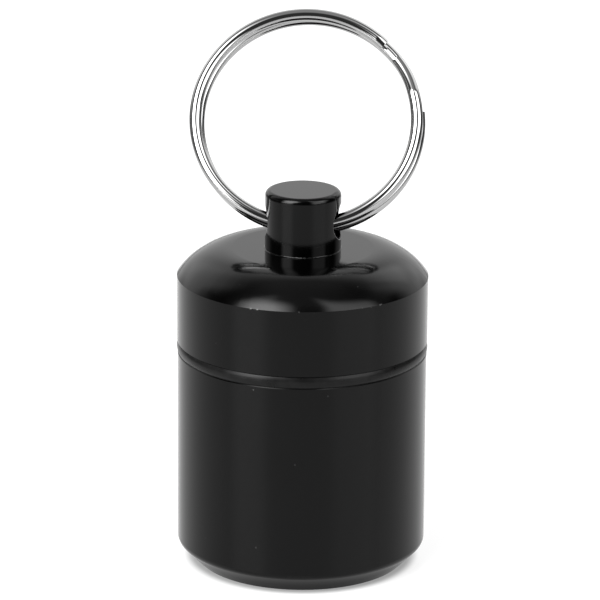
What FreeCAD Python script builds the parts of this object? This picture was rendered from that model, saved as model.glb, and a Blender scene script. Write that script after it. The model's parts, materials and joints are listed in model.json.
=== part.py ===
"""Pill fob keychain: a turned canister, a screw lid with a cross-drilled knob, its seal and a split key ring.

Millimetres. The canister stands on the XY plane with its axis on +Z. The knob's cross hole runs along X,
and the key ring, which swings about that hole, leans back towards +Y.
"""
import FreeCAD
import Part
import math
import os
from FreeCAD import Vector

# Canister: a thick-walled cup with a bevelled foot
canister_radius = 13.32
canister_height = 23.2
foot_bevel = 2.07
foot_round = 0.8
floor_thickness = 2.2
chamber_corner = 1.0
mouth_wall = 2.55
edge_break = 0.08

# Screw thread between lid and canister, right-handed, with a 60 degree form
thread_pitch = 1.5
thread_turns = 4
thread_depth = 0.7
thread_crest = 0.25
thread_flank_angle = 30.0
thread_clearance = 0.15
runout_margin = 0.1
runout_depth = 0.05

# Seal: a rubber ring, squeezed between the two rims until its sides swell out past the walls
seal_height = 1.26
seal_recess = 0.1
seal_swell = 0.18
seal_fit = 0.05

# Lid: a straight wall, a domed shoulder that ends in a sharp edge, and a hollow threaded plug below
lid_overhang = 0.07
lid_height = 10.15
shoulder_width = 5.81
shoulder_drop = 2.97
lid_roof = 3.2
collar_depth = 0.6
plug_wall = 1.4
hollow_corner = 1.5

# Knob on the lid, drilled across for the key ring
knob_radius = 4.05
knob_round = 0.6
knob_fillet = 0.12
knob_wall_below_hole = 1.18
knob_wall_above_hole = 1.42
hole_clearance = 0.08
hole_rim_round = 0.1

# Split ring: one wire that runs almost twice round, stepping from the front turn to the back one
ring_diameter = 25.0
wire_diameter = 1.25
turn_gap = 0.42
ring_lean = 33.9
ring_turn = 5.0
front_end_angle = 50.0
step_start_angle = 21.0
step_end_angle = 42.0
back_end_angle = 7.0
arcs_per_turn = 4
wire_end_round = 0.2

# Thread sizes that both pieces share
flank_slope = math.tan(math.radians(thread_flank_angle))
mouth_radius = canister_radius - mouth_wall
female_root_radius = mouth_radius - runout_depth
male_crest_radius = female_root_radius - thread_clearance
male_root_radius = male_crest_radius - thread_depth
chamber_radius = male_root_radius + thread_clearance
flank_clearance = thread_clearance / math.cos(math.radians(thread_flank_angle))
runout_width = thread_pitch + runout_margin

# Heights of the closed assembly
lid_rim_z = canister_height + seal_height
lid_flat_z = lid_rim_z + lid_height
collar_bottom_z = canister_height - collar_depth
male_runout_z = collar_bottom_z - runout_width / 2
mouth_bottom_z = male_runout_z - runout_width / 2
plug_bottom_z = male_runout_z - (thread_turns - 0.5) * thread_pitch
female_runout_z = plug_bottom_z - thread_pitch

# Key ring and the hole that it passes through: the wire leaves the knob at half the hole's height,
# and the ring's turn takes one wire to the front of the hole there and the other to the back
wire_radius = wire_diameter / 2
turn_pitch = wire_diameter + turn_gap
ring_radius = (ring_diameter - wire_diameter) / 2
ring_dip = ring_radius - math.sqrt(ring_radius ** 2 - knob_radius ** 2)
ring_drift = knob_radius * math.sin(math.radians(ring_turn))
wire_reach = max(math.hypot(ring_dip, turn_pitch / 2), turn_pitch / 2 + ring_drift)
hole_radius = wire_reach + wire_radius + hole_clearance
hole_z = lid_flat_z + knob_wall_below_hole + hole_radius
knob_top_z = hole_z + hole_radius + knob_wall_above_hole

Z_AXIS = Vector(0, 0, 1)
FOOT_SLOPE = 45.0
CUT_TOLERANCE = 1e-4
MATCH_TOLERANCE = 0.01


def profile_point(radius, z):
    """A point of a turned profile."""
    return Vector(radius, 0, z)


def line(start, end):
    """A straight edge of a turned profile, between two (radius, z) pairs."""
    return Part.LineSegment(profile_point(*start), profile_point(*end)).toShape()


def arc(centre, radius, start_angle, end_angle):
    """A round edge of a turned profile, with angles in degrees from the outward direction."""
    angles = [start_angle, (start_angle + end_angle) / 2, end_angle]
    points = []
    for angle in angles:
        turn = math.radians(angle)
        points.append(profile_point(centre[0] + radius * math.cos(turn), centre[1] + radius * math.sin(turn)))
    return Part.Arc(*points).toShape()


def polyline(points):
    """Straight edges through a list of (radius, z) pairs."""
    return [line(start, end) for start, end in zip(points, points[1:])]


def turned(edges):
    """The solid that a closed profile sweeps round the Z axis."""
    face = Part.Face(Part.Wire(edges))
    return face.revolve(Vector(0, 0, 0), Z_AXIS, 360)


def ridge_width(radius):
    """How thick the lid's thread is at a radius, measured along the axis."""
    return thread_crest + 2 * (male_crest_radius - radius) * flank_slope


def thread_groove(inner_radius, outer_radius, inner_width, outer_width, start_z, turns):
    """Helical cutters of one turn each, whose middle starts at start_z on the +X side and climbs."""
    corners = [
        profile_point(inner_radius, -inner_width / 2),
        profile_point(outer_radius, -outer_width / 2),
        profile_point(outer_radius, outer_width / 2),
        profile_point(inner_radius, inner_width / 2),
    ]
    section = Part.makePolygon(corners + corners[:1])
    helix = Part.makeHelix(thread_pitch, thread_pitch, inner_radius)
    one_turn = Part.Wire(helix.Edges).makePipeShell([section], True, True)
    cutters = []
    for turn in range(turns):
        cutter = one_turn.copy()
        cutter.translate(Vector(0, 0, start_z + turn * thread_pitch))
        cutters.append(cutter)
    return cutters


def make_canister():
    """The cup: pill chamber below, female thread and plain mouth above."""
    runout_top = female_runout_z + runout_width / 2
    runout_bottom = female_runout_z - runout_width / 2
    corner_z = floor_thickness + chamber_corner
    corner_radius = chamber_radius - chamber_corner
    foot_setback = foot_round * math.tan(math.radians(FOOT_SLOPE / 2))
    foot_inset = foot_setback * math.cos(math.radians(FOOT_SLOPE))
    foot = polyline([
        (0, 0),
        (canister_radius - foot_bevel, 0),
        (canister_radius - foot_inset, foot_bevel - foot_inset),
    ])
    foot_edge = arc((canister_radius - foot_round, foot_bevel + foot_setback), foot_round, -FOOT_SLOPE, 0)
    walls = polyline([
        (canister_radius, foot_bevel + foot_setback),
        (canister_radius, canister_height - edge_break),
        (canister_radius - edge_break, canister_height),
        (mouth_radius + edge_break, canister_height),
        (mouth_radius, canister_height - edge_break),
        (mouth_radius, mouth_bottom_z),
        (chamber_radius, mouth_bottom_z - (mouth_radius - chamber_radius)),
        (chamber_radius, runout_top),
        (mouth_radius, runout_top),
        (mouth_radius, runout_bottom),
        (chamber_radius, runout_bottom),
        (chamber_radius, corner_z),
    ])
    corner = arc((corner_radius, corner_z), chamber_corner, 0, -90)
    floor = polyline([(corner_radius, floor_thickness), (0, floor_thickness), (0, 0)])
    blank = turned(foot + [foot_edge] + walls + [corner] + floor)

    inner_radius = chamber_radius - thread_clearance
    inner_width = ridge_width(inner_radius) + 2 * flank_clearance
    outer_width = ridge_width(female_root_radius) + 2 * flank_clearance
    cutters = thread_groove(
        inner_radius, female_root_radius, inner_width, outer_width, female_runout_z, thread_turns + 1
    )
    return blank.cut(cutters, CUT_TOLERANCE)


def make_lid():
    """The lid: knob, domed shoulder and wall outside, and a hollow male-threaded plug below."""
    lid_radius = canister_radius + lid_overhang
    flat_radius = lid_radius - shoulder_width
    shoulder_radius = (shoulder_width ** 2 + shoulder_drop ** 2) / (2 * shoulder_drop)
    shoulder_end = math.degrees(math.acos(shoulder_width / shoulder_radius))
    shoulder_z = lid_flat_z - shoulder_drop
    runout_radius = male_root_radius - runout_depth
    bore_radius = runout_radius - plug_wall
    hollow_top_z = lid_flat_z - lid_roof

    knob = [
        line((0, knob_top_z), (knob_radius - knob_round, knob_top_z)),
        arc((knob_radius - knob_round, knob_top_z - knob_round), knob_round, 90, 0),
        line((knob_radius, knob_top_z - knob_round), (knob_radius, lid_flat_z + knob_fillet)),
        arc((knob_radius + knob_fillet, lid_flat_z + knob_fillet), knob_fillet, 180, 270),
    ]
    shoulder = [
        line((knob_radius + knob_fillet, lid_flat_z), (flat_radius, lid_flat_z)),
        arc((flat_radius, lid_flat_z - shoulder_radius), shoulder_radius, 90, shoulder_end),
    ]
    wall_and_plug = polyline([
        (lid_radius, shoulder_z),
        (lid_radius, lid_rim_z + edge_break),
        (lid_radius - edge_break, lid_rim_z),
        (male_crest_radius, lid_rim_z),
        (male_crest_radius, collar_bottom_z),
        (runout_radius, collar_bottom_z),
        (runout_radius, mouth_bottom_z),
        (male_crest_radius, mouth_bottom_z),
        (male_crest_radius, plug_bottom_z + thread_depth),
        (male_root_radius, plug_bottom_z),
        (bore_radius, plug_bottom_z),
        (bore_radius, hollow_top_z - hollow_corner),
    ])
    hollow = [
        arc((bore_radius - hollow_corner, hollow_top_z - hollow_corner), hollow_corner, 0, 90),
        line((bore_radius - hollow_corner, hollow_top_z), (0, hollow_top_z)),
        line((0, hollow_top_z), (0, knob_top_z)),
    ]
    blank = turned(knob + shoulder + wall_and_plug + hollow)

    outer_radius = male_crest_radius + thread_clearance
    inner_width = thread_pitch - ridge_width(male_root_radius)
    outer_width = thread_pitch - ridge_width(outer_radius)
    cutters = thread_groove(
        male_root_radius, outer_radius, inner_width, outer_width,
        male_runout_z - thread_turns * thread_pitch, thread_turns,
    )
    threaded = blank.cut(cutters, CUT_TOLERANCE)

    drill_length = 4 * knob_radius
    drill_start = Vector(-drill_length / 2, 0, hole_z)
    drill = Part.makeCylinder(hole_radius, drill_length, drill_start, Vector(1, 0, 0))
    drilled = threaded.cut(drill).Solids[0]
    rims = [edge for edge in drilled.Edges if is_hole_rim(edge)]
    return drilled.makeFillet(hole_rim_round, rims)


def is_hole_rim(edge):
    """True for the edges where the cross hole breaks out of the knob's side."""
    on_knob = []
    on_hole = []
    for point in edge.discretize(5):
        on_knob.append(abs(math.hypot(point.x, point.y) - knob_radius))
        on_hole.append(abs(math.hypot(point.y, point.z - hole_z) - hole_radius))
    return max(on_knob + on_hole) < MATCH_TOLERANCE


def make_seal():
    """The rubber ring, flat where the rims squeeze it and swollen at its inner and outer sides."""
    side_radius = (seal_height ** 2 / 4 + seal_swell ** 2) / (2 * seal_swell)
    side_angle = math.degrees(math.asin(seal_height / 2 / side_radius))
    middle_z = canister_height + seal_height / 2
    outer_edge = canister_radius - seal_recess
    inner_edge = male_crest_radius + seal_fit + seal_swell
    outer_centre = outer_edge + seal_swell - side_radius
    inner_centre = inner_edge - seal_swell + side_radius
    return turned([
        line((inner_edge, canister_height), (outer_edge, canister_height)),
        arc((outer_centre, middle_z), side_radius, -side_angle, side_angle),
        line((outer_edge, lid_rim_z), (inner_edge, lid_rim_z)),
        arc((inner_centre, middle_z), side_radius, 180 - side_angle, 180 + side_angle),
    ])


def ring_point(angle, layer):
    """A point on the middle of the wire, in the ring's own plane: an angle round it and a distance in front."""
    turn = math.radians(angle)
    return Vector(ring_radius * math.cos(turn), ring_radius * math.sin(turn), layer)


def ring_tangent(angle):
    """The direction in which the wire runs at an angle round the ring."""
    turn = math.radians(angle)
    return Vector(-math.sin(turn), math.cos(turn), 0)


def ring_placement():
    """Where the ring hangs in the hole: leaning back, and turned a little to one side."""
    lean = math.radians(ring_lean)
    turn = math.radians(ring_turn)
    side = Vector(math.cos(turn), math.sin(turn), 0)
    up = Z_AXIS.cross(side) * math.sin(lean) + Z_AXIS * math.cos(lean)
    centre = Vector(0, 0, hole_z) + up * (ring_radius - ring_dip)
    return FreeCAD.Placement(centre, FreeCAD.Rotation(side, up, side.cross(up), "XYZ"))


def ring_arcs(start_angle, end_angle, layer):
    """A stretch of the ring in one layer, as a chain of arcs of about a quarter turn."""
    count = math.ceil((end_angle - start_angle) / 360 * arcs_per_turn)
    step = (end_angle - start_angle) / count
    edges = []
    for index in range(count):
        first = start_angle + index * step
        points = [ring_point(first + share * step, layer) for share in (0, 0.5, 1)]
        edges.append(Part.Arc(*points).toShape())
    return edges


def tangent_arc(start, corner, end):
    """The arc from start to end whose end tangents meet at corner."""
    middle = (start + end) * 0.5
    cosine = (end - start).Length / 2 / (corner - start).Length
    crown = middle + (corner - middle) * (cosine / (1 + cosine))
    return Part.Arc(start, crown, end).toShape()


def biarc(start, start_tangent, end, end_tangent):
    """Two arcs that leave start along one tangent and reach end along the other, smooth where they meet."""
    span = end - start
    both = start_tangent + end_tangent
    bend = 2 * (start_tangent.dot(end_tangent) - 1)
    reach = (span.dot(both) - math.sqrt(span.dot(both) ** 2 - bend * span.dot(span))) / bend
    first_corner = start + start_tangent * reach
    last_corner = end - end_tangent * reach
    meeting = (first_corner + last_corner) * 0.5
    return [tangent_arc(start, first_corner, meeting), tangent_arc(meeting, last_corner, end)]


def least_gap(edges):
    """The smallest gap between the wire and itself, measured on points about half a turn or more apart."""
    spacing = wire_radius / 3
    points = []
    for edge in edges:
        points.extend(edge.discretize(Distance=spacing))
    apart = round(math.pi * ring_radius / spacing)
    nearest = min(
        points[first].distanceToPoint(points[second])
        for first in range(len(points))
        for second in range(first + apart, len(points))
    )
    return nearest - wire_diameter


def make_split_ring():
    """The key ring: front turn, step to the back, back turn, in one unbroken wire with rounded ends."""
    front = turn_pitch / 2
    step_start = step_start_angle + 360
    step_end = step_end_angle + 360
    step = biarc(
        ring_point(step_start, front), ring_tangent(step_start),
        ring_point(step_end, -front), ring_tangent(step_end),
    )
    edges = ring_arcs(front_end_angle, step_start, front) + step
    edges += ring_arcs(step_end, back_end_angle + 720, -front)
    circle = Part.makeCircle(wire_radius, ring_point(front_end_angle, front), ring_tangent(front_end_angle))
    wire = Part.Wire(edges).makePipeShell([Part.Wire(circle)], True, False)
    print(f"split ring: least gap to itself {least_gap(edges):.3f} mm")
    end_rims = [edge for face in wire.Faces if face.Surface.TypeId == "Part::GeomPlane" for edge in face.Edges]
    ring = wire.makeFillet(wire_end_round, end_rims)
    ring.Placement = ring_placement()
    return ring


os.makedirs("parts", exist_ok=True)
pieces = {
    "canister_body": make_canister(),
    "screw_lid": make_lid(),
    "seal_o_ring": make_seal(),
    "split_ring": make_split_ring(),
}
for name, shape in pieces.items():
    shape.exportStep(f"parts/{name}.step")
    print(f"{name}: {len(shape.Solids)} solid, {shape.Volume:.1f} cubic mm, valid {shape.isValid()}")
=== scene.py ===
# %% [markdown]
# # A pill fob on a split ring
# The object is a small turned canister with a screw lid, a rubber seal between the two, and a key ring
# of wound wire through the lid's knob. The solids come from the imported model, which stays fixed. This
# lesson dresses them: it sets the camera and the studio, mixes three finishes, and winds the wire of
# the ring along its real path.

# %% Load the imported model
import json
import math

import bpy
from mathutils import Matrix, Vector


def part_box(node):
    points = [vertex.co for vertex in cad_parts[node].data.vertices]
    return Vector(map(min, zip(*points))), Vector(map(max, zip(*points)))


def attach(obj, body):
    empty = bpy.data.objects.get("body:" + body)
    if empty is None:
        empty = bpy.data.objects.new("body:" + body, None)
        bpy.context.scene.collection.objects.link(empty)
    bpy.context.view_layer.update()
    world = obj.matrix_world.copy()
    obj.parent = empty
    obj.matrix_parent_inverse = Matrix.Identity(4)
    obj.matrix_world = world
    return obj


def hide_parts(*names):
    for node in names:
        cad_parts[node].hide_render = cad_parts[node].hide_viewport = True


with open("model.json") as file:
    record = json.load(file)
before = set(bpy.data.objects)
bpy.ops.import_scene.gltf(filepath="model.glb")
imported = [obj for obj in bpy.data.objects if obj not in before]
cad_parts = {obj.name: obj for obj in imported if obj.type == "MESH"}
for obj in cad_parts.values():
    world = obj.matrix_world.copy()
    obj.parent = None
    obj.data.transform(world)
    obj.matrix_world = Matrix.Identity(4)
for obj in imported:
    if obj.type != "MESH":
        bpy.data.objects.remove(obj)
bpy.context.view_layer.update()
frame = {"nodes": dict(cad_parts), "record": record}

scene = bpy.context.scene
MM = 0.001

# %% [markdown]
# ## Sizes that the model already knows
# A finish or a new piece fits best when its sizes are read from the solids instead of typed again. The
# canister and the lid are turned, so half of their width is their radius, and their heights are the
# places of their rims.

# %% Read the turned pieces
canister_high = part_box("canister_body")[1]
lid_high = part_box("screw_lid")[1]
seal_low, seal_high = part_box("seal_o_ring")
canister_radius = canister_high.x
lid_radius = lid_high.x
print(f"canister radius {canister_radius / MM:.2f} mm, lid radius {lid_radius / MM:.2f} mm")
print(f"seal from {seal_low.z / MM:.2f} to {seal_high.z / MM:.2f} mm, knob top at {lid_high.z / MM:.2f} mm")

# %% [markdown]
# ## The camera
# The picture was taken from a little above and slightly to the right, with a long lens, so verticals
# stay almost parallel. A camera can be aimed by a constraint, but building its matrix from a direction,
# a distance and a small roll keeps every number in sight and leaves nothing live in the scene.

# %% Place the camera
camera_azimuth = math.radians(8.0)
camera_elevation = math.radians(17.61)
camera_roll = math.radians(0.42)
camera_distance = 0.4734
camera_lens = 266.36
camera_sensor = 36.0
camera_target_height = 28.73 * MM
camera_target_shift = -0.267 * MM


def direction(azimuth, elevation):
    """The way from the object to a place around it, from azimuth 0 in front to 90 degrees on its right."""
    level = math.cos(elevation)
    return Vector((math.sin(azimuth) * level, -math.cos(azimuth) * level, math.sin(elevation)))


def aimed(place, target, roll=0.0):
    """A matrix at a place, whose back is turned away from the target."""
    turn = (place - target).to_track_quat("Z", "Y")
    return Matrix.Translation(place) @ turn.to_matrix().to_4x4() @ Matrix.Rotation(roll, 4, "Z")


camera_right = Vector((math.cos(camera_azimuth), math.sin(camera_azimuth), 0.0))
camera_target = Vector((0.0, 0.0, camera_target_height)) + camera_target_shift * camera_right
camera_place = camera_target + camera_distance * direction(camera_azimuth, camera_elevation)
camera = bpy.data.objects.new("camera", bpy.data.cameras.new("camera"))
camera.data.lens = camera_lens
camera.data.sensor_width = camera_sensor
camera.matrix_world = aimed(camera_place, camera_target, camera_roll)
scene.collection.objects.link(camera)
scene.camera = camera
print("camera at", [round(value, 4) for value in camera_place])

# %% [markdown]
# ## Node helpers
# Materials, the sky and the wound wire are all node trees. They could be drawn by hand in the node
# editor, but a script can be run again. Five small helpers keep it readable: one adds a node and sets
# or links its inputs, one adds a sum, one measures a length, one stretches a span of values onto
# another, and one does so with a noise pattern, most of whose values lie near the middle.

# %% Helpers for node trees
def new_node(tree, kind, inputs=None, **settings):
    """Add a node, set its options, then set each named input or link it to another node's output."""
    node = tree.nodes.new(kind)
    for name, value in settings.items():
        setattr(node, name, value)
    for socket, value in (inputs or {}).items():
        if isinstance(value, bpy.types.NodeSocket):
            tree.links.new(value, node.inputs[socket])
        else:
            node.inputs[socket].default_value = value
    return node


def maths(tree, operation, *values):
    """The output of a Math node on numbers or other nodes' outputs."""
    return new_node(tree, "ShaderNodeMath", dict(enumerate(values)), operation=operation).outputs[0]


def vector_length(tree, vector):
    """The output of a node that measures a vector's length."""
    return new_node(tree, "ShaderNodeVectorMath", {0: vector}, operation="LENGTH").outputs["Value"]


def map_range(tree, value, low, high, low_to=0.0, high_to=1.0, interpolation="LINEAR"):
    """The output of a Map Range node, which stretches one span of values onto another."""
    spans = {0: value, 1: low, 2: high, 3: low_to, 4: high_to}
    return new_node(tree, "ShaderNodeMapRange", spans, interpolation_type=interpolation).outputs[0]


noise_low = 0.3
noise_high = 0.7


def from_noise(tree, noise, low_to, high_to):
    """The usual values of a noise pattern, stretched onto another span."""
    return map_range(tree, noise.outputs["Fac"], noise_low, noise_high, low_to, high_to)


# %% [markdown]
# ## Floor and studio light
# Black gloss and bright wire show little but their surroundings, so the room is the most important
# light. The table is a white half-gloss sheet that glows from below, which keeps shadows faint. It also
# mirrors the lamps a little, and the walls see those mirror images as soft upright bands. Under the
# foot the glow is turned down to a painted contact shadow, which the bevelled foot mirrors as a darker
# band, and far away the glow fades. Area lamps could stand for the rest of the room, but painted on the
# world it can have edges as soft as a real soft box's.

# %% Lay the glowing table
floor_half = 1.5
glow = 0.76
# painted contact shadow: under the foot the glow drops to this level, fading back in between the two radii
# below
contact_shadow_glow = 0.25
contact_shadow_start = 0.87 * canister_radius
contact_shadow_end = 0.97 * canister_radius
fade_start = 0.27
fade_end = 0.42
fade_stretch = (2.0, 1.0, 1.0)
floor_mesh = bpy.data.meshes.new("floor")
floor_corners = [(x * floor_half, y * floor_half, 0.0) for x, y in ((-1, -1), (1, -1), (1, 1), (-1, 1))]
floor_mesh.from_pydata(floor_corners, [], [(0, 1, 2, 3)])
floor = bpy.data.objects.new("floor", floor_mesh)
scene.collection.objects.link(floor)
floor_paint = bpy.data.materials.new("glowing_sheet")
floor_paint.use_nodes = True
sheet = floor_paint.node_tree
sheet_place = new_node(sheet, "ShaderNodeTexCoord").outputs["Object"]
sheet_reach = vector_length(sheet, sheet_place)
# painted contact shadow under the foot, mirrored by its bevel
glow_with_contact_shadow = map_range(sheet, sheet_reach, contact_shadow_start, contact_shadow_end, contact_shadow_glow, glow, "SMOOTHSTEP")
sheet_stretch = new_node(
    sheet, "ShaderNodeVectorMath", {0: sheet_place, 1: fade_stretch}, operation="MULTIPLY"
).outputs["Vector"]
sheet_span = vector_length(sheet, sheet_stretch)
far_share = map_range(sheet, sheet_span, fade_start, fade_end, 1.0, 0.0, "SMOOTHSTEP")
sheet_shader = sheet.nodes["Principled BSDF"]
sheet.links.new(maths(sheet, "MULTIPLY", glow_with_contact_shadow, far_share), sheet_shader.inputs["Emission Strength"])
sheet_shader.inputs["Emission Color"].default_value = (1.0, 1.0, 1.0, 1.0)
sheet_shader.inputs["Base Color"].default_value = (0.2, 0.2, 0.2, 1.0)
sheet_shader.inputs["Roughness"].default_value = 0.22
sheet_shader.inputs["IOR"].default_value = 1.1
floor_mesh.materials.append(floor_paint)
print(f"table {2 * floor_half:.0f} m wide, with a mask of {contact_shadow_end / MM:.1f} mm radius under the foot")

# %% Measure directions round the room
room = bpy.data.worlds.new("studio_room")
room.use_nodes = True
scene.world = room
scene.view_settings.view_transform = "Standard"
sky = room.node_tree
sky_direction = new_node(sky, "ShaderNodeTexCoord").outputs["Generated"]


def sky_share(axis):
    """How far the seen direction points along an axis."""
    product = new_node(sky, "ShaderNodeVectorMath", {0: sky_direction, 1: axis}, operation="DOT_PRODUCT")
    return product.outputs["Value"]


sky_right = sky_share(camera_right)
sky_front = sky_share(direction(camera_azimuth, 0.0))
sky_elevation = maths(sky, "DEGREES", maths(sky, "ARCSINE", sky_share((0.0, 0.0, 1.0))))
sky_azimuth = maths(sky, "DEGREES", maths(sky, "ARCTAN2", sky_right, sky_front))
sky_turn = maths(sky, "ABSOLUTE", sky_azimuth)
slant_from = 42.0
slant_rise = 0.5
slant_turn = maths(sky, "SUBTRACT", sky_turn, slant_from)
sky_slant = maths(sky, "MULTIPLY_ADD", slant_turn, slant_rise, sky_elevation)


def sky_band(value, low, low_full, high_full, high):
    """One between the two full limits, falling softly to nothing at the outer ones."""
    rise = map_range(sky, value, low, low_full, interpolation="SMOOTHSTEP")
    fall = map_range(sky, value, high_full, high, 1.0, 0.0, "SMOOTHSTEP")
    return maths(sky, "MULTIPLY", rise, fall)


def sky_disc(azimuth, elevation, full, edge):
    """One within the full radius of a round lamp, falling softly to nothing at its edge."""
    lamp = direction(camera_azimuth + math.radians(azimuth), math.radians(elevation))
    away = maths(sky, "DEGREES", maths(sky, "ARCCOSINE", sky_share(lamp)))
    return map_range(sky, away, full, edge, 1.0, 0.0, "SMOOTHSTEP")


# %% [markdown]
# Soft-edged fields add up to the room, each given as its brightness and its limits in degrees. Azimuth
# runs from 0 at the camera to 180 behind the object, and is negative on the left. Its plain amount, the
# turn, paints a field on both sides at once. In front, a round lamp on the left and a soft box on the
# right, about a third as bright, draw the two patches on the shoulder, and a low box under each lights
# the walls by way of the table. A white sweep behind gives the lid's flat top its grey, and its corners
# and two dim sides light the ends of the shoulder. A strip of ceiling lights the front of the knob. The
# dark stretches between them all draw the dark lines along the wire, and two dim fields beside the left
# lamp keep those lines from going black.

# %% Paint the room
room_dark = 0.06
ceiling_strip = 0.45
ceiling_start = 48.0
ceiling_full = 70.0
strip_inner = 0.1
strip_outer = 0.45
strip_beyond = 0.3
ceiling = map_range(sky, sky_elevation, ceiling_start, ceiling_full, 0.0, ceiling_strip, "SMOOTHSTEP")
sideways = maths(sky, "ABSOLUTE", sky_right)
off_middle = map_range(sky, sideways, strip_inner, strip_outer, 1.0, strip_beyond, "SMOOTHSTEP")
sky_light = maths(sky, "MULTIPLY_ADD", ceiling, off_middle, room_dark)
for brightness, turn_source, turn_span, rise_source, rise_span in (
    (1.12, sky_turn, (134.0, 150.0, 180.0, 181.0), sky_elevation, (-90.0, -89.0, 4.0, 14.0)),
    (1.12, sky_turn, (103.0, 126.0, 180.0, 181.0), sky_elevation, (4.0, 14.0, 45.0, 66.0)),
    (0.45, sky_turn, (112.0, 126.0, 150.0, 164.0), sky_elevation, (8.0, 16.0, 36.0, 50.0)),
    (0.7, sky_azimuth, (128.0, 138.0, 152.0, 165.0), sky_elevation, (22.0, 32.0, 44.0, 58.0)),
    (0.2, sky_turn, (92.0, 110.0, 112.0, 128.0), sky_elevation, (33.0, 42.0, 48.0, 60.0)),
    (0.25, sky_azimuth, (78.0, 100.0, 112.0, 128.0), sky_elevation, (33.0, 42.0, 48.0, 60.0)),
    (5.0, sky_azimuth, (22.0, 38.0, 64.0, 76.0), sky_elevation, (2.0, 10.0, 36.0, 48.0)),
    (10.5, sky_azimuth, (-72.0, -58.0, -42.0, -26.0), sky_elevation, (2.0, 10.0, 28.0, 44.0)),
    (1.3, sky_azimuth, (-84.0, -74.0, -62.0, -50.0), sky_elevation, (56.0, 64.0, 70.0, 79.0)),
    (0.3, sky_azimuth, (-120.0, -106.0, -86.0, -76.0), sky_elevation, (2.0, 10.0, 28.0, 38.0)),
    (5.0, sky_azimuth, (22.0, 42.0, 78.0, 90.0), sky_slant, (36.0, 48.0, 59.0, 79.0)),
):
    field = maths(sky, "MULTIPLY", sky_band(turn_source, *turn_span), sky_band(rise_source, *rise_span))
    sky_light = maths(sky, "MULTIPLY_ADD", field, brightness, sky_light)
left_lamp = sky_disc(azimuth=-44.5, elevation=47.0, full=7.5, edge=26.5)
left_lamp_brightness = 15.3
sky_light = maths(sky, "MULTIPLY_ADD", left_lamp, left_lamp_brightness, sky_light)
sky.links.new(sky_light, sky.nodes["Background"].inputs["Strength"])
sky.nodes["Background"].inputs["Color"].default_value = (1.0, 1.0, 1.0, 1.0)
print("room painted with", len(sky.nodes), "nodes")

# %% [markdown]
# ## Black anodised aluminium
# The canister and the lid are turned from bar, polished and dyed black in an anodising bath. A plain
# black gloss would be simpler, but light meets two skins. The clear oxide on top is a weak mirror
# straight on and a strong one at a glancing angle, which suits a coat. The dark metal under it still
# carries the fine grooves of the turning tool. They run round the axis and smear reflections across
# them, so it is an anisotropic metal with a tangent round the axis, and adds no more than a faint
# sheen. Use leaves traces too: bare metal shows in nicks along the shoulder's sharp edge, and specks of
# dust lie on the walls.

# %% Mix the anodised finish
def turned_coordinates(tree):
    """Radius and height of a point of a turned piece, and its plain position."""
    position = new_node(tree, "ShaderNodeTexCoord").outputs["Object"]
    split = new_node(tree, "ShaderNodeSeparateXYZ", {0: position})
    across = new_node(tree, "ShaderNodeCombineXYZ", {"X": split.outputs["X"], "Y": split.outputs["Y"]})
    return vector_length(tree, across.outputs[0]), split.outputs["Z"], position


def black_anodised_aluminium(edge_radius, edge_height):
    """A clear coat over dark turned metal, with faint rings, dust, and nicks along one sharp edge."""
    material = bpy.data.materials.new("black_anodised_aluminium")
    material.use_nodes = True
    tree = material.node_tree
    shader = tree.nodes["Principled BSDF"]
    radius, height, position = turned_coordinates(tree)
    profile = new_node(tree, "ShaderNodeCombineXYZ", {"X": radius, "Y": height}).outputs[0]
    rings = new_node(tree, "ShaderNodeTexNoise", {"Vector": profile, "Scale": 5200.0, "Detail": 2.0})
    cloud = new_node(tree, "ShaderNodeTexNoise", {"Vector": position, "Scale": 160.0, "Detail": 4.0})
    tone = from_noise(tree, cloud, 0.0008, 0.0012)
    from_edge = new_node(
        tree, "ShaderNodeVectorMath", {0: profile, 1: (edge_radius, edge_height, 0.0)}, operation="DISTANCE"
    )
    nick_core = 0.04 * MM
    nick_reach = 0.12 * MM
    near_edge = map_range(tree, from_edge.outputs["Value"], nick_core, nick_reach, 1.0, 0.0)
    chips = new_node(tree, "ShaderNodeTexNoise", {"Vector": position, "Scale": 1500.0, "Detail": 1.0})
    chip_start = 0.69
    chip_full = 0.75
    chipped = map_range(tree, chips.outputs["Fac"], chip_start, chip_full)
    nicked = maths(tree, "MULTIPLY", near_edge, chipped)
    cells = new_node(tree, "ShaderNodeTexVoronoi", {"Vector": position, "Scale": 300.0})
    speck_core = 0.015
    speck_reach = 0.035
    dusted = map_range(tree, cells.outputs["Distance"], speck_core, speck_reach, 1.0, 0.0)
    nick_tone = 0.06
    dust_tone = 0.03
    tone = maths(tree, "MULTIPLY_ADD", dusted, dust_tone, tone)
    tone = maths(tree, "MULTIPLY_ADD", nicked, nick_tone, tone)
    ground = new_node(tree, "ShaderNodeCombineColor", {0: tone, 1: tone, 2: tone})
    tree.links.new(ground.outputs[0], shader.inputs["Base Color"])
    polish = from_noise(tree, cloud, 0.48, 0.54)
    tree.links.new(polish, shader.inputs["Roughness"])
    groove_depth = 0.002 * MM
    grooves = {"Height": rings.outputs["Fac"], "Strength": 0.12, "Distance": groove_depth}
    marks = new_node(tree, "ShaderNodeBump", grooves)
    tree.links.new(marks.outputs[0], shader.inputs["Coat Normal"])
    round_axis = new_node(tree, "ShaderNodeTangent", direction_type="RADIAL", axis="Z")
    tree.links.new(round_axis.outputs[0], shader.inputs["Tangent"])
    shader.inputs["Metallic"].default_value = 1.0
    shader.inputs["Specular Tint"].default_value = (0.0, 0.0, 0.0, 1.0)
    shader.inputs["Anisotropic"].default_value = 0.8
    shader.inputs["Anisotropic Rotation"].default_value = 0.25
    shader.inputs["Coat Weight"].default_value = 1.0
    shader.inputs["Coat Roughness"].default_value = 0.12
    shader.inputs["Coat IOR"].default_value = 1.246
    return material


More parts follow.
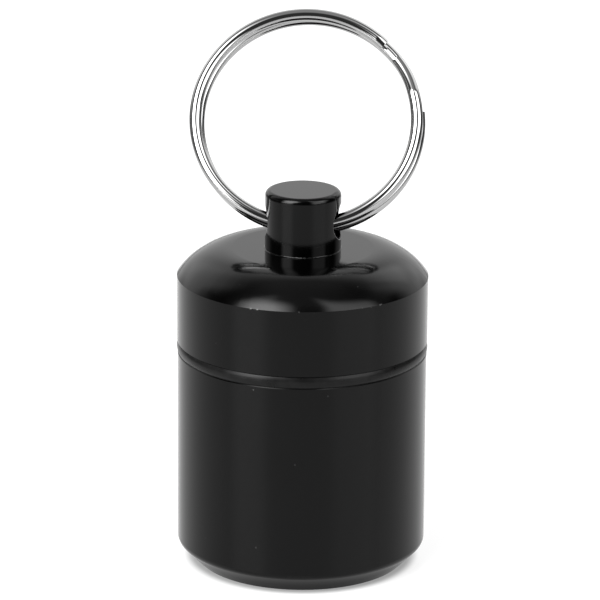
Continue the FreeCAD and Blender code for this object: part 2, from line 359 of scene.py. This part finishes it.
lid_points = [vertex.co for vertex in frame["nodes"]["screw_lid"].data.vertices]
wall_inside = 0.995 * lid_radius
shoulder_edge = max(point.z for point in lid_points if point.xy.length > wall_inside)
anodised = black_anodised_aluminium(lid_radius, shoulder_edge)
for name in ("canister_body", "screw_lid"):
    frame["nodes"][name].data.materials.clear()
    frame["nodes"][name].data.materials.append(anodised)
print(f"anodised finish, with nicks round the shoulder's edge at {shoulder_edge / MM:.2f} mm")

# %% [markdown]
# ## Black rubber
# The seal is a moulded ring of soft rubber. It is matte, with the fine grain of its mould and a trace
# of grey bloom. A painted picture could carry both, but two noise patterns on Object coordinates need
# no map: a fine one raises the grain, and a coarse one changes tone and dullness together.

# %% Mix the rubber
def black_rubber():
    """A dull dark rubber with mould grain and a little grey bloom."""
    material = bpy.data.materials.new("black_rubber")
    material.use_nodes = True
    tree = material.node_tree
    shader = tree.nodes["Principled BSDF"]
    position = new_node(tree, "ShaderNodeTexCoord").outputs["Object"]
    grain = new_node(tree, "ShaderNodeTexNoise", {"Vector": position, "Scale": 9000.0, "Detail": 2.0})
    bloom = new_node(tree, "ShaderNodeTexNoise", {"Vector": position, "Scale": 700.0, "Detail": 4.0})
    bloom_start = 0.35
    tone = map_range(tree, bloom.outputs["Fac"], bloom_start, noise_high, 0.003, 0.006)
    ground = new_node(tree, "ShaderNodeCombineColor", {0: tone, 1: tone, 2: tone})
    tree.links.new(ground.outputs[0], shader.inputs["Base Color"])
    dullness = from_noise(tree, bloom, 0.26, 0.34)
    tree.links.new(dullness, shader.inputs["Roughness"])
    grain_depth = 0.01 * MM
    graining = {"Height": grain.outputs["Fac"], "Strength": 0.2, "Distance": grain_depth}
    moulding = new_node(tree, "ShaderNodeBump", graining)
    tree.links.new(moulding.outputs[0], shader.inputs["Normal"])
    shader.inputs["Specular IOR Level"].default_value = 0.12
    return material


rubber = black_rubber()
frame["nodes"]["seal_o_ring"].data.materials.clear()
frame["nodes"]["seal_o_ring"].data.materials.append(rubber)
print("rubber on seal_o_ring")

# %% [markdown]
# ## Bright plated wire
# The ring is steel wire with a bright nickel skin. Drawing the wire through its die leaves hair lines
# along it. Object coordinates can't follow a bent wire, so the finish reads the wire's own map: one
# direction runs along the wire and the other round it.

# %% Mix the plating
def bright_plated_wire():
    """Bright metal with fine lines along the wire."""
    material = bpy.data.materials.new("bright_plated_wire")
    material.use_nodes = True
    tree = material.node_tree
    shader = tree.nodes["Principled BSDF"]
    wire_map = new_node(tree, "ShaderNodeUVMap", uv_map="wire_map").outputs[0]
    line_stretch = (6.0, 60.0, 1.0)
    stretched = new_node(tree, "ShaderNodeMapping", {"Vector": wire_map, "Scale": line_stretch}).outputs[0]
    lines = new_node(tree, "ShaderNodeTexNoise", {"Vector": stretched, "Scale": 1.0, "Detail": 3.0})
    tone = from_noise(tree, lines, 0.34, 0.4)
    plating = new_node(tree, "ShaderNodeCombineColor", {0: tone, 1: tone, 2: tone})
    tree.links.new(plating.outputs[0], shader.inputs["Base Color"])
    polish = from_noise(tree, lines, 0.03, 0.06)
    tree.links.new(polish, shader.inputs["Roughness"])
    shader.inputs["Metallic"].default_value = 1.0
    return material


plated = bright_plated_wire()
print("plating mixed with", len(plated.node_tree.nodes), "nodes")

# %% [markdown]
# ## The split ring
# The real ring is one length of wire, wound almost twice round and pressed flat, with a step where it
# passes from the front turn to the back one. A curve object could carry hand-placed points, but the
# path follows a rule, so Geometry Nodes wind it: the share of the way along the wire gives an angle,
# the angle gives a point on the circle, and the step gives the side it lies on. Both ends are ground to
# a slope, so that a key slides in between the turns. The ring hangs loose in its hole: in the picture
# it is turned two degrees further than the solid, slid aside and sunk a little.

# %% Read where the ring hangs
key_loop = next(mount for mount in frame["record"]["mounts"] if mount["name"] == "key_loop")
ring_askew = Matrix.Rotation(math.radians(2.0), 3, "Z")
ring_front = ring_askew @ Vector(key_loop["axis"]).normalized()
ring_right = Vector((-ring_front.y, ring_front.x, 0.0)).normalized()
ring_up = ring_front.cross(ring_right)
ring_slide = 0.29 * MM
ring_drop = 0.17 * MM
ring_centre = ring_askew @ Vector(key_loop["pos_m"]) + ring_slide * ring_right - ring_drop * ring_up
ring_low, ring_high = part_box("split_ring")
ring_width = ring_high.x - ring_low.x
print(f"ring {ring_width / MM:.1f} mm across, leaning {math.degrees(math.asin(ring_front.z)):.0f} degrees")

# %% Build the winding tree
def winding_tree():
    """Geometry Nodes that wind a round wire into a split ring."""
    tree = bpy.data.node_groups.new("split_ring_winding", "GeometryNodeTree")
    sizes = (
        ("Ring Radius", "NodeSocketFloat"),
        ("Wire Radius", "NodeSocketFloat"),
        ("Turn Pitch", "NodeSocketFloat"),
        ("Back Shift", "NodeSocketFloat"),
        ("Front End", "NodeSocketFloat"),
        ("Step Start", "NodeSocketFloat"),
        ("Step End", "NodeSocketFloat"),
        ("Back End", "NodeSocketFloat"),
        ("Tip Angle", "NodeSocketFloat"),
        ("Tip Taper", "NodeSocketFloat"),
        ("Centre", "NodeSocketVector"),
        ("Right", "NodeSocketVector"),
        ("Up", "NodeSocketVector"),
        ("Front", "NodeSocketVector"),
        ("Points", "NodeSocketInt"),
        ("Sides", "NodeSocketInt"),
        ("Material", "NodeSocketMaterial"),
    )
    for name, kind in sizes:
        tree.interface.new_socket(name, in_out="INPUT", socket_type=kind)
    tree.interface.new_socket("Geometry", in_out="OUTPUT", socket_type="NodeSocketGeometry")
    given = tree.nodes.new("NodeGroupInput").outputs

    straight = new_node(tree, "GeometryNodeCurvePrimitiveLine").outputs["Curve"]
    wire = new_node(tree, "GeometryNodeResampleCurve", {"Curve": straight, "Count": given["Points"]})
    share = new_node(tree, "GeometryNodeSplineParameter").outputs["Factor"]
    angle = map_range(tree, share, 0.0, 1.0, given["Front End"], given["Back End"])
    half_pitch = maths(tree, "MULTIPLY", given["Turn Pitch"], 0.5)
    behind = maths(tree, "MULTIPLY", half_pitch, -1.0)
    from_front_end = maths(tree, "SUBTRACT", angle, given["Front End"])
    to_back_end = maths(tree, "SUBTRACT", given["Back End"], angle)
    to_tip = maths(tree, "MINIMUM", from_front_end, to_back_end)
    taper = map_range(tree, to_tip, 0.0, given["Tip Angle"], given["Tip Taper"], 0.0)
    thickness = maths(tree, "SUBTRACT", 1.0, taper)
    stepped = map_range(tree, angle, given["Step Start"], given["Step End"], half_pitch, behind)
    side = maths(tree, "MULTIPLY", stepped, thickness)

    def along(axis, distance):
        """A step of some length along an axis."""
        scaled = new_node(tree, "ShaderNodeVectorMath", {0: axis, "Scale": distance}, operation="SCALE")
        return scaled.outputs[0]

    def added(first, second):
        """The sum of two steps."""
        return new_node(tree, "ShaderNodeVectorMath", {0: first, 1: second}, operation="ADD").outputs[0]

    half_shift = maths(tree, "MULTIPLY", given["Back Shift"], 0.5)
    leftmost = maths(tree, "MULTIPLY", half_shift, -1.0)
    drift = map_range(tree, angle, given["Step Start"], given["Step End"], leftmost, half_shift)
    across = maths(tree, "MULTIPLY_ADD", given["Ring Radius"], maths(tree, "COSINE", angle), drift)
    rightwards = along(given["Right"], across)
    upwards = along(given["Up"], maths(tree, "MULTIPLY", given["Ring Radius"], maths(tree, "SINE", angle)))
    forwards = along(given["Front"], side)
    place = added(given["Centre"], added(rightwards, added(upwards, forwards)))
    wound = new_node(tree, "GeometryNodeSetPosition", {"Geometry": wire.outputs[0], "Position": place})

    tapered = new_node(tree, "GeometryNodeSetCurveRadius", {"Curve": wound.outputs[0], "Radius": thickness})
    length = new_node(tree, "GeometryNodeSplineParameter").outputs["Length"]
    marked = new_node(tree, "GeometryNodeCaptureAttribute", {"Geometry": tapered.outputs[0]})
    marked.capture_items.new("FLOAT", "along")
    tree.links.new(length, marked.inputs[1])
    section_sizes = {"Resolution": given["Sides"], "Radius": given["Wire Radius"]}
    round_section = new_node(tree, "GeometryNodeCurvePrimitiveCircle", section_sizes)
    section = new_node(tree, "GeometryNodeCaptureAttribute", {"Geometry": round_section.outputs["Curve"]})
    section.capture_items.new("FLOAT", "round")
    around = new_node(tree, "GeometryNodeSplineParameter").outputs["Factor"]
    tree.links.new(around, section.inputs[1])
    drawn = new_node(
        tree,
        "GeometryNodeCurveToMesh",
        {"Curve": marked.outputs[0], "Profile Curve": section.outputs[0], "Fill Caps": True},
    )
    map_point = new_node(tree, "ShaderNodeCombineXYZ", {"X": marked.outputs[1], "Y": section.outputs[1]})
    mapped = new_node(
        tree,
        "GeometryNodeStoreNamedAttribute",
        {"Geometry": drawn.outputs[0], "Name": "wire_map", "Value": map_point.outputs[0]},
        data_type="FLOAT2",
        domain="CORNER",
    )
    smooth = new_node(tree, "GeometryNodeSetShadeSmooth", {"Geometry": mapped.outputs[0]})
    real = new_node(tree, "GeometryNodeRealizeInstances", {"Geometry": smooth.outputs[0]})
    finish = {"Geometry": real.outputs[0], "Material": given["Material"]}
    painted = new_node(tree, "GeometryNodeSetMaterial", finish)
    new_node(tree, "NodeGroupOutput", {"Geometry": painted.outputs[0]})
    return tree


# %% Wind the wire
wire_radius = 0.66 * MM
turn_pitch = 1.38 * MM
radius_trim = 0.06 * MM
back_shift = 0.28 * MM
full_turn = 360.0
front_end = math.radians(46.0)
step_start = math.radians(full_turn + 15.0)
step_end = math.radians(full_turn + 38.0)
back_end = math.radians(2 * full_turn + 6.3)
winding = {
    "Ring Radius": ring_width / 2 - wire_radius - radius_trim,
    "Wire Radius": wire_radius,
    "Turn Pitch": turn_pitch,
    "Back Shift": back_shift,
    "Front End": front_end,
    "Step Start": step_start,
    "Step End": step_end,
    "Back End": back_end,
    "Tip Angle": math.radians(4.0),
    "Tip Taper": 0.25,
    "Centre": ring_centre,
    "Right": ring_right,
    "Up": ring_up,
    "Front": ring_front,
    "Points": 900,
    "Sides": 32,
    "Material": plated,
}


def made_by_nodes(name, tree, inputs):
    """A plain mesh object from a Geometry Nodes tree and its named inputs."""
    maker = bpy.data.objects.new(name + "_maker", bpy.data.meshes.new(name + "_maker"))
    scene.collection.objects.link(maker)
    modifier = maker.modifiers.new(name, "NODES")
    modifier.node_group = tree
    for socket in tree.interface.items_tree:
        if socket.in_out == "INPUT":
            modifier[socket.identifier] = inputs[socket.name]
    evaluated = maker.evaluated_get(bpy.context.evaluated_depsgraph_get())
    mesh = bpy.data.meshes.new_from_object(evaluated)
    maker.modifiers.remove(modifier)
    bpy.data.objects.remove(maker)
    mesh.name = name
    piece = bpy.data.objects.new(name, mesh)
    scene.collection.objects.link(piece)
    return piece


ring_wire = made_by_nodes("key_ring_wire", winding_tree(), winding)
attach(ring_wire, "key_ring")
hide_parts("split_ring")
print("wound wire:", len(ring_wire.data.polygons), "faces")
